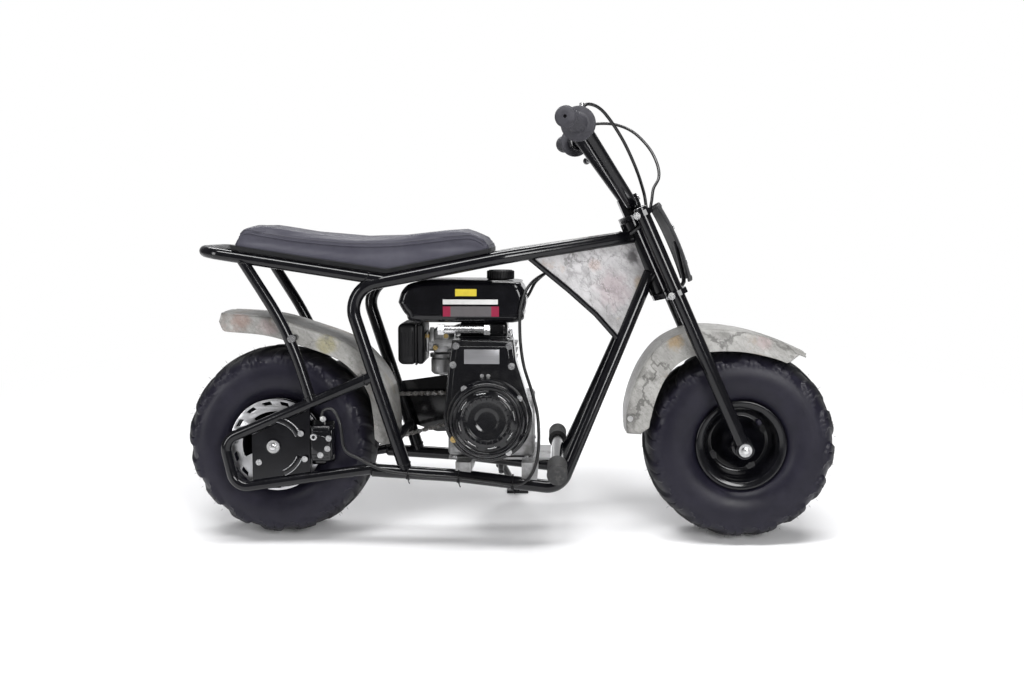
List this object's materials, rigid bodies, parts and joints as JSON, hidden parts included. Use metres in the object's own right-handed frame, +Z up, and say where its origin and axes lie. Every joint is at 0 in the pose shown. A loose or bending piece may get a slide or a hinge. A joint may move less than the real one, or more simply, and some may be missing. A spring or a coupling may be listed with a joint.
{
  "type": "mini bike",
  "caption": "Small off-road mini bike with fat knobby tyres, rigid tube frame, open four-stroke engine, padded seat and side stand.",
  "frame": {"origin": "middle of the bike's box on the floor, with the bike leaning on its side stand", "axes": "+X forward along the bike, +Y to the rider's left, the side the bike leans to, +Z up"},
  "size_m": [1.2086, 0.6438, 0.8054],
  "materials": {
    "frame_paint": "gloss black paint",
    "camo_plastic": "satin, printed winter camouflage",
    "bright_steel": "bright",
    "engine_paint": "semi-gloss black",
    "cast_alloy": "as cast",
    "black_plastic": "matte",
    "seat_vinyl": "charcoal vinyl",
    "soft_rubber": "matte",
    "tyre_rubber": "matte"
  },
  "bodies": {
    "frame": {"head_tube": "frame_paint", "main_tube_right": "frame_paint", "main_tube_left": "frame_paint", "cradle_tube_right": "frame_paint", "cradle_tube_left": "frame_paint", "rear_loop_right": "frame_paint", "rear_loop_left": "frame_paint", "seat_stay_right": "frame_paint", "seat_stay_left": "frame_paint", "tail_rail": "frame_paint", "tank_rail_right": "frame_paint", "tank_rail_left": "frame_paint", "cross_tube_lower": "frame_paint", "side_panel_right": "camo_plastic", "side_panel_left": "camo_plastic", "axle_plate_right": "frame_paint", "axle_plate_left": "frame_paint", "rear_axle": "bright_steel", "brake_caliper": "engine_paint", "chain": "bright_steel", "chain_guard": "frame_paint", "clutch": "bright_steel", "engine_mount": "cast_alloy", "engine_block": "cast_alloy", "rocker_cover": "cast_alloy", "engine_shroud": "engine_paint", "recoil_starter": "engine_paint", "fuel_tank": "engine_paint", "fuel_cap": "black_plastic", "carburettor": "cast_alloy", "air_filter": "black_plastic", "muffler": "engine_paint", "seat": "seat_vinyl", "rear_fender": "camo_plastic", "peg_bar": "frame_paint", "peg_rubber_right": "soft_rubber", "peg_rubber_left": "soft_rubber", "throttle_cable_lower": "black_plastic", "brake_cable_lower": "black_plastic"},
    "steering": {"fork_leg_right": "frame_paint", "fork_leg_left": "frame_paint", "upper_clamp": "frame_paint", "lower_clamp": "frame_paint", "handlebar": "frame_paint", "grip_right": "soft_rubber", "grip_left": "soft_rubber", "throttle_housing": "black_plastic", "brake_lever": "black_plastic", "throttle_cable": "black_plastic", "brake_cable": "black_plastic", "number_plate": "black_plastic", "front_fender": "camo_plastic", "front_axle": "bright_steel"},
    "front_wheel": {"front_tyre": "tyre_rubber", "front_rim": "frame_paint"},
    "rear_wheel": {"rear_tyre": "tyre_rubber", "rear_rim": "frame_paint", "brake_rotor": "bright_steel", "rear_sprocket": "bright_steel"},
    "side_stand": {"side_stand": "frame_paint"}
  },
  "joints": [
    {"name": "steering", "type": "hinge", "parent": "frame", "child": "steering", "pos_m": [0.279, -0.03959, 0.46091], "axis": [-0.4067, 0.1271, 0.9047], "range_deg": [-35, 35]},
    {"name": "front_wheel_spin", "type": "hinge", "parent": "steering", "child": "front_wheel", "pos_m": [0.4275, -0.07946, 0.1772], "axis": [0, 0.9903, -0.1392], "continuous": true},
    {"name": "rear_wheel_spin", "type": "hinge", "parent": "frame", "child": "rear_wheel", "pos_m": [-0.4275, -0.07946, 0.1772], "axis": [0, 0.9903, -0.1392], "continuous": true},
    {"name": "side_stand_fold", "type": "hinge", "parent": "frame", "child": "side_stand", "pos_m": [-0.022, 0.03607, 0.08674], "axis": [0, 0.7947, 0.607], "range_deg": [0, 95]}
  ]
}
